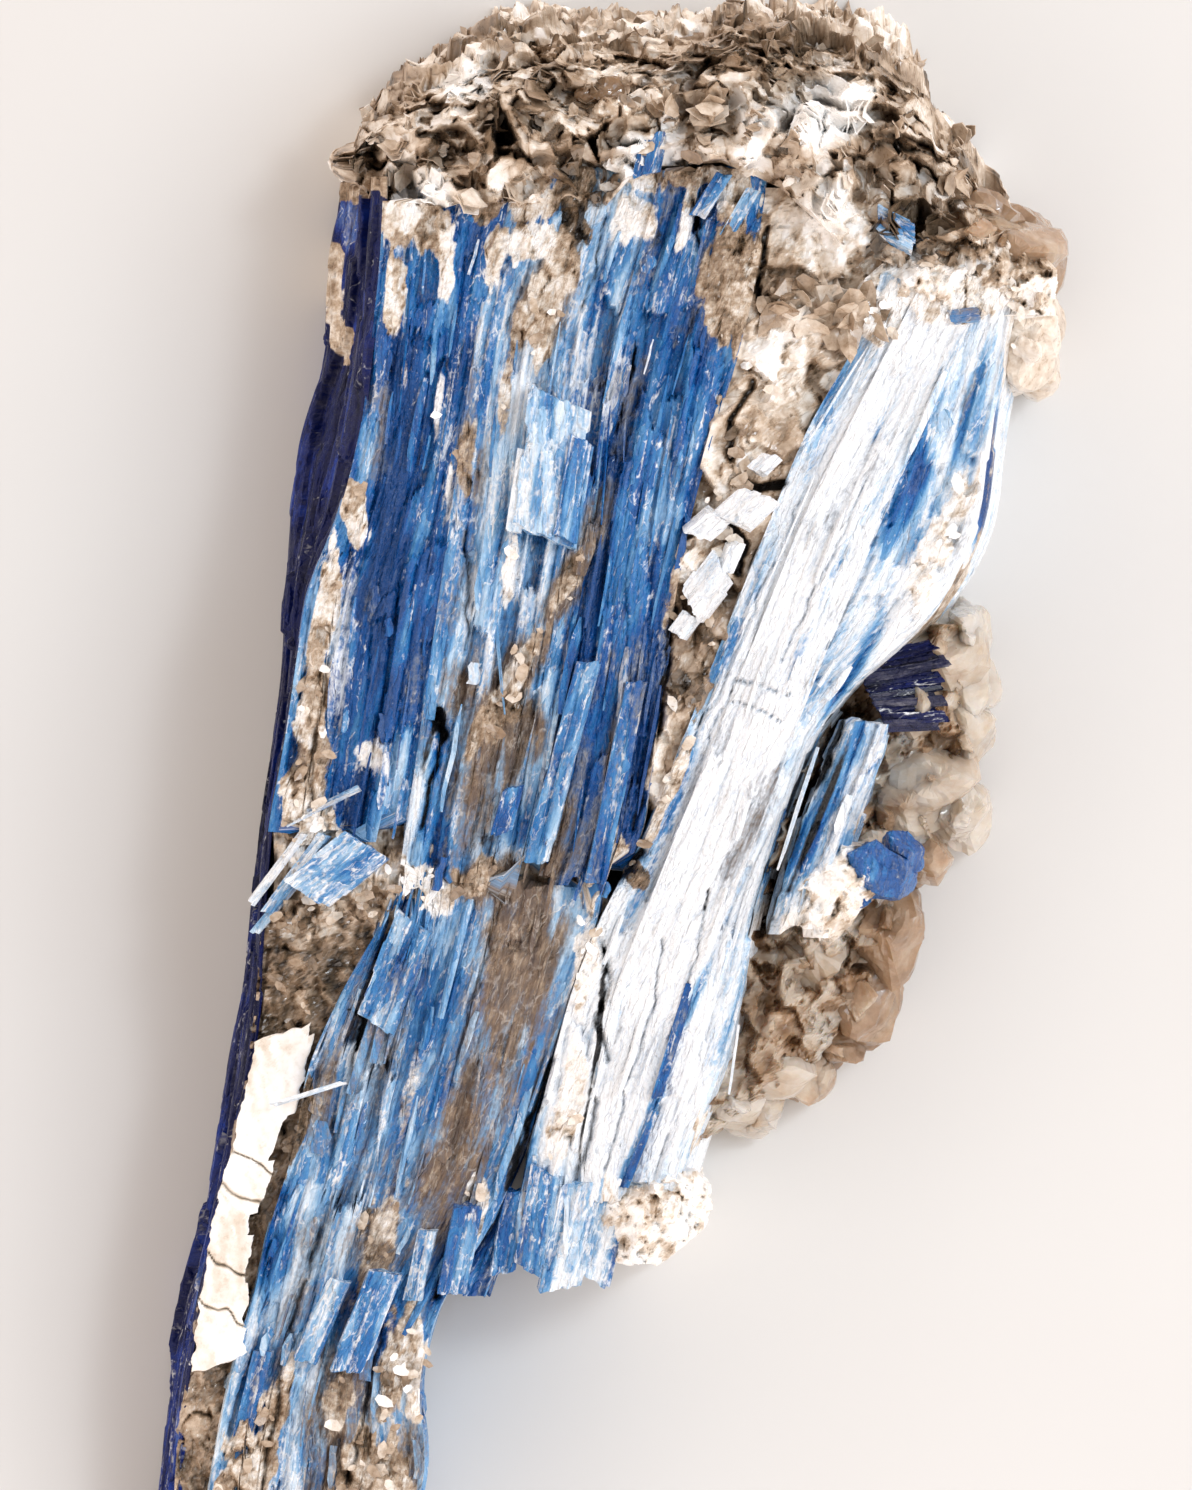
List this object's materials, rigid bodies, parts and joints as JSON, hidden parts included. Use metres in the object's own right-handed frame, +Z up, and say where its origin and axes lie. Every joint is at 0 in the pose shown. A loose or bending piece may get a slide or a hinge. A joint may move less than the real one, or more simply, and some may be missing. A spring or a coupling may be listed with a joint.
{
  "type": "kyanite blade cluster",
  "caption": "Cluster of striated blue and pale kyanite blades grown side by side, with a mica crust over one end and quartz lumps along one flank, lying on its side.",
  "frame": {"origin": "middle of the specimen's footprint, on the surface that it lies on", "axes": "+Y along the blades towards the mica crust, +X across them towards the quartz lumps, +Z up from the surface it lies on"},
  "size_m": [0.0926, 0.1624, 0.0308],
  "materials": {
    "deep_blue_kyanite": "vitreous, striated",
    "pale_kyanite": "pearly, striated",
    "stained_kyanite": "satin, fibrous",
    "mica_crust": "flaky, glinting",
    "muscovite": "pearly, crumpled",
    "quartz": "vitreous, lumpy",
    "stained_mica": "matt, flaky"
  },
  "bodies": {
    "root": {"flank_blade": "deep_blue_kyanite", "left_blue_blade": "deep_blue_kyanite", "middle_blade": "pale_kyanite", "right_blue_blade": "deep_blue_kyanite", "seam_mica": "mica_crust", "pale_left_blade": "pale_kyanite", "pale_broad_blade": "pale_kyanite", "pale_right_blade": "pale_kyanite", "pale_lower_blade": "pale_kyanite", "lower_blue_blade": "deep_blue_kyanite", "stained_blade": "stained_kyanite", "tip_blade": "deep_blue_kyanite", "groove_mica": "stained_mica", "crossing_crust": "muscovite", "muscovite_plate": "muscovite", "mica_crust": "mica_crust", "corner_quartz_block": "quartz", "upper_quartz_knob": "quartz", "middle_quartz_knob": "quartz", "smoky_quartz": "quartz", "quartz_toe": "quartz"}
  },
  "joints": []
}
